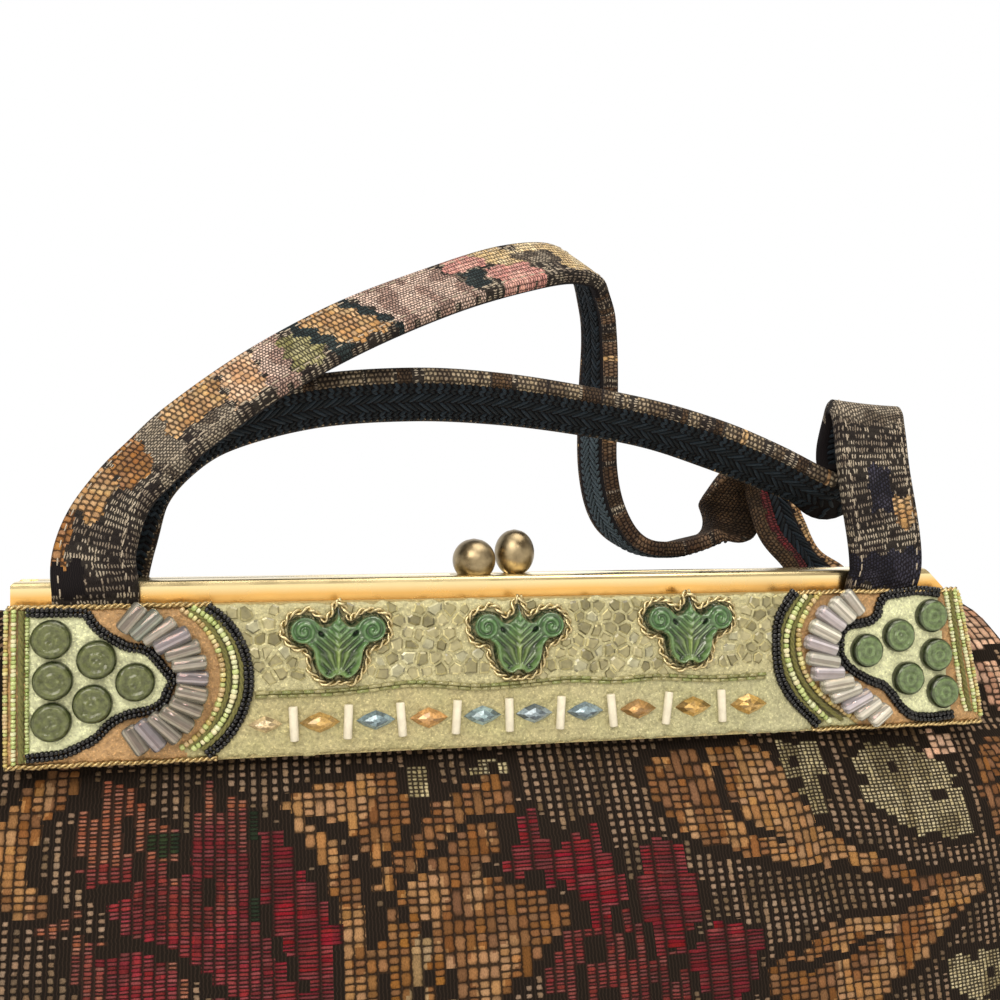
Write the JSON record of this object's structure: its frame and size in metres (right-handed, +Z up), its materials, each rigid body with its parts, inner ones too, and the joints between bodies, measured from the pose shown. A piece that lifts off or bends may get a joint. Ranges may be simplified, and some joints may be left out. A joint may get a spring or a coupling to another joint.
{
  "type": "frame bag",
  "caption": "Tapestry handbag on a gilt kiss-lock frame, with strap handles and a front panel of glass beads, discs and carved leaves.",
  "frame": {"origin": "middle of the base, on the surface that the bag stands on", "axes": "+Z up, -Y out of the beaded front, +X to the right of someone facing the front"},
  "size_m": [0.316, 0.097, 0.302],
  "materials": {
    "tapestry": "jacquard-woven floral tapestry",
    "strap_tapestry": "finer woven tapestry, topstitched",
    "gilt_metal": "polished gilt, a little rubbed",
    "clasp_metal": "worn champagne plating",
    "panel_paste": "pale green bead paste",
    "clear_glass": "clear glass with a rainbow lustre",
    "disc_glass": "pressed glass, mottled green",
    "leaf_glass": "carved glossy green glass",
    "amber_crystal": "cut glass with a foiled back",
    "blue_crystal": "cut glass with a foiled back",
    "white_glass": "pearl-white glass"
  },
  "bodies": {
    "root": {"body_front": "tapestry", "body_back": "tapestry", "gusset_left": "tapestry", "gusset_right": "tapestry", "base": "tapestry", "frame_front": "gilt_metal", "frame_back": "gilt_metal", "hinge_pin_left": "gilt_metal", "hinge_pin_right": "gilt_metal", "clasp_ball_front": "clasp_metal", "clasp_ball_back": "clasp_metal", "handle_upper": "strap_tapestry", "handle_lower": "strap_tapestry", "front_panel": "panel_paste", "back_panel": "strap_tapestry", "bugle_fan_left": "clear_glass", "bugle_fan_right": "clear_glass", "disc_left_1": "disc_glass", "disc_left_2": "disc_glass", "disc_left_3": "disc_glass", "disc_left_4": "disc_glass", "disc_left_5": "disc_glass", "disc_left_6": "disc_glass", "disc_right_1": "disc_glass", "disc_right_2": "disc_glass", "disc_right_3": "disc_glass", "disc_right_4": "disc_glass", "disc_right_5": "disc_glass", "disc_right_6": "disc_glass", "ornament_left": "leaf_glass", "ornament_middle": "leaf_glass", "ornament_right": "leaf_glass", "crystal_1": "amber_crystal", "crystal_2": "amber_crystal", "crystal_3": "blue_crystal", "crystal_4": "amber_crystal", "crystal_5": "blue_crystal", "crystal_6": "blue_crystal", "crystal_7": "blue_crystal", "crystal_8": "amber_crystal", "crystal_9": "amber_crystal", "crystal_10": "amber_crystal", "bugle_1": "white_glass", "bugle_2": "white_glass", "bugle_3": "white_glass", "bugle_4": "white_glass", "bugle_5": "white_glass", "bugle_6": "white_glass", "bugle_7": "white_glass", "bugle_8": "white_glass", "bugle_9": "white_glass"}
  },
  "joints": []
}
